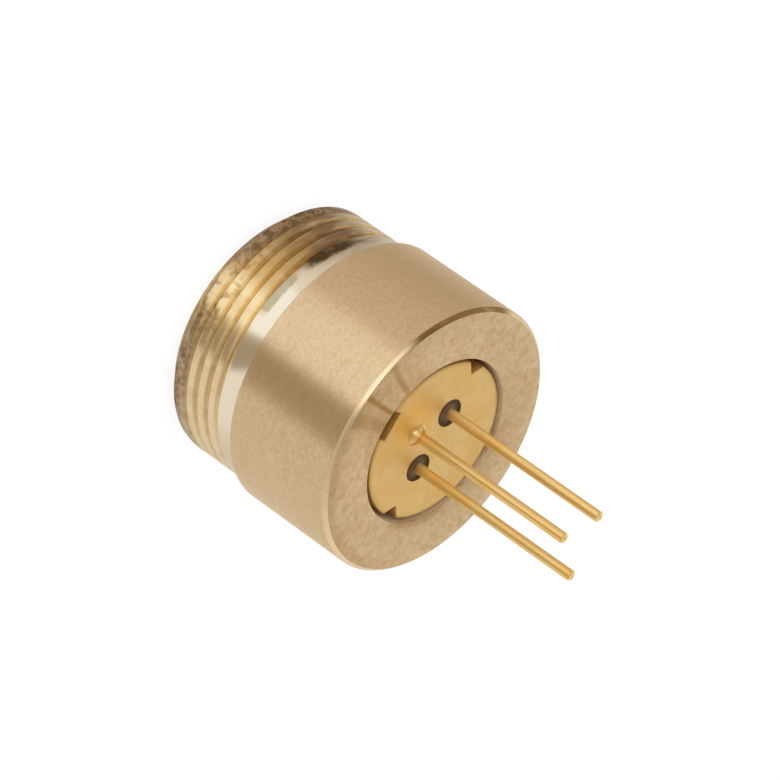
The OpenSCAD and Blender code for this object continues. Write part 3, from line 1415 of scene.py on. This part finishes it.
@dataclass
class OutputFilter(Seated):
    """Round filter glass with polished bevels."""

    bevel: float = 0.08
    edge: float = 0.01
    steps: int = 128

    def build(self) -> None:
        """Builds the filter."""
        r, low_z, high_z = self.high.x, self.low.z, self.high.z
        section = Section(
            (0.0, low_z),
            (r - self.bevel, low_z),
            (r, low_z + self.bevel),
            (r, high_z - self.bevel),
            (r - self.bevel, high_z),
            (0.0, high_z),
        )
        bm = section.soften(self.edge).turned(self.steps)
        Piece("filter_polished", self.node, "filter_glass").add(bm, Look.FILTER.material())


@dataclass
class LightTent:
    """Soft light tent: a ring of panels round the part, then a ceiling and a dim crown.

    Angles are in degrees from the camera's azimuth, positive towards -X. A tall bright panel stands
    just beside the camera and reaches up into the crown. A fade is a span of the Z of a direction.
    """

    azimuth: float
    ring: Stops = (
        (-180, (0.76, 0.74, 0.71)),
        (-130, (0.88, 0.87, 0.85)),
        (-100, (0.97, 0.96, 0.95)),
        (-51, (1.00, 0.99, 0.98)),
        (-45, (0.44, 0.37, 0.28)),
        (-24, (0.44, 0.37, 0.28)),
        (-16, (0.60, 0.53, 0.44)),
        (-11, (1.16, 1.20, 1.27)),
        (36, (1.16, 1.20, 1.27)),
        (42, (0.95, 0.92, 0.88)),
        (75, (0.86, 0.81, 0.74)),
        (110, (0.58, 0.52, 0.44)),
        (145, (0.70, 0.68, 0.64)),
        (180, (0.76, 0.74, 0.71)),
    )
    ceiling: Stops = (
        (-180, (1.12, 1.12, 1.12)),
        (-70, (0.68, 0.67, 0.65)),
        (-16, (0.66, 0.65, 0.63)),
        (-10, (1.08, 1.09, 1.11)),
        (36, (1.08, 1.09, 1.11)),
        (44, (0.70, 0.69, 0.67)),
        (70, (0.68, 0.67, 0.65)),
        (180, (1.12, 1.12, 1.12)),
    )
    crown: Stops = (
        (-180, (0.52, 0.50, 0.47)),
        (-18, (0.48, 0.45, 0.41)),
        (-12, (1.60, 1.60, 1.60)),
        (50, (1.60, 1.60, 1.60)),
        (58, (0.46, 0.42, 0.37)),
        (180, (0.52, 0.50, 0.47)),
    )
    ceiling_fade: Point = (-0.25, 0.30)
    crown_fade: Point = (0.62, 0.82)

    def build(self) -> None:
        """Makes the tent the scene's world."""
        world = bpy.data.worlds.new("light_tent")
        bpy.context.scene.world = world
        world.use_nodes = True
        graph = NodeGraph(world.node_tree)
        direction = {"Vector": graph.node("TexCoord", "Generated", {})}
        x, y, z = (graph.node("SeparateXYZ", axis, direction) for axis in "XYZ")
        bearing = graph.math("ARCTAN2", y, x)
        offset = graph.math("SUBTRACT", math.radians(self.azimuth), bearing)
        wrapped = graph.math("WRAP", offset, math.pi, -math.pi)
        share = graph.math("MULTIPLY_ADD", wrapped, 1 / FULL_TURN, 0.5)
        light = self._round(graph, share, self.ring)
        for fade, stops in ((self.ceiling_fade, self.ceiling), (self.crown_fade, self.crown)):
            above = self._round(graph, share, stops)
            light = graph.mix(graph.ramp(z, *fade), light, above)
        graph.put(light, graph.nodes["Background"].inputs["Color"])

    @staticmethod
    def _round(graph: NodeGraph, share: Socket, stops: Stops) -> Socket:
        """Colour round the tent.

        Args:
            graph: Nodes of the world.
            share: Turn round the part from 0 to 1.
            stops: Angle and colour of each stop.

        Returns:
            The colour.
        """
        ramp = graph.nodes.new("ShaderNodeValToRGB")
        elements = ramp.color_ramp.elements
        while len(elements) < len(stops):
            elements.new(0.5)
        for element, (degrees, colour) in zip(elements, stops):
            element.position = (degrees + 180) / 360
            element.color = (*colour, 1.0)
        graph.put(share, ramp.inputs["Fac"])
        return ramp.outputs["Color"]


@dataclass
class Studio:
    """Pale floor, soft light and the camera at the photograph's viewing angle."""

    aim: Colour = (-0.5019, 0.0816, 5.2153)
    azimuth: float = -99.234
    elevation: float = 32.517
    roll: float = -124.964
    distance: float = 187.188
    lens: float = 273.596
    clip: Point = (0.01, 20.0)
    floor_r: float = 3.0
    floor_z: float = -1e-5
    floor_steps: int = 128
    floor_tone: Colour = (0.25, 0.25, 0.25)
    floor_glow: float = 0.86

    def build(self) -> None:
        """Sets up the floor, the light and the camera."""
        self._floor()
        LightTent(self.azimuth).build()
        self._camera()
        view = bpy.context.scene.view_settings
        view.view_transform = "Standard"
        view.look = "None"

    def _floor(self) -> None:
        """Round pale floor, which is part of the stage."""
        bm = bmesh.new()
        place = Matrix.Translation((0.0, 0.0, self.floor_z))
        size = {"radius": self.floor_r, "segments": self.floor_steps}
        bmesh.ops.create_circle(bm, cap_ends=True, matrix=place, **size)
        mesh = bpy.data.meshes.new("floor")
        bm.to_mesh(mesh)
        bm.free()
        pale = ShaderTree("pale_floor").finish(
            Base_Color=self.floor_tone,
            Roughness=0.9,
            Specular_IOR_Level=0.1,
            Emission_Color=(1.0, 1.0, 1.0),
            Emission_Strength=self.floor_glow,
        )
        mesh.materials.append(pale)
        floor = bpy.data.objects.new("floor", mesh)
        floor.visible_glossy = False
        bpy.context.scene.collection.objects.link(floor)
        floor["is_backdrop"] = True

    def _camera(self) -> None:
        """Camera of the photograph, turned about its own line of sight."""
        a, e, roll = (math.radians(degrees) for degrees in (self.azimuth, self.elevation, self.roll))
        back = Vector((math.cos(a) * math.cos(e), math.sin(a) * math.cos(e), math.sin(e)))
        level_up = (UP - back * back.z).normalized()
        side = (-back).cross(level_up)
        up = level_up * math.cos(roll) + side * math.sin(roll)
        right = up.cross(back)
        data = bpy.data.cameras.new("camera")
        data.lens = self.lens
        data.sensor_width = 36.0
        data.clip_start, data.clip_end = self.clip
        camera = bpy.data.objects.new("camera", data)
        turn = Matrix((right, up, back)).transposed().to_4x4()
        place = (Vector(self.aim) + back * self.distance) * MM
        camera.matrix_world = Matrix.Translation(place) @ turn
        bpy.context.scene.collection.objects.link(camera)
        bpy.context.scene.camera = camera


def main() -> None:
    """Builds the module piece by piece, then the studio, and measures both boxes."""
    logging.basicConfig(level=logging.INFO, format="%(name)s: %(message)s")
    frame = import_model()
    cad_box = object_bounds()
    radii = {mount["name"]: mount["dims"].get("r_mm") for mount in frame["record"]["mounts"]}
    seals = [GlassSeal(node) for node in ("cathode_glass_seal", "anode_glass_seal")]
    Housing("housing", radii["body"], radii["thread"]).build()
    HeaderPlate("header_base").build(seals)
    gold = Look.LEAD.material()
    for role in LeadRole:
        Lead(role.value).build(gold)
    for seal in seals:
        seal.build()
    PumpDiode().build(frame["nodes"], gold)
    CrystalStack().build()
    OutputFilter("ir_filter").build()
    Studio().build()
    boxes = {"cad": cad_box, "visual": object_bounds()}
    {name: [list(corner) for corner in box] for name, box in boxes.items()}


if __name__ == "__main__":
    main()
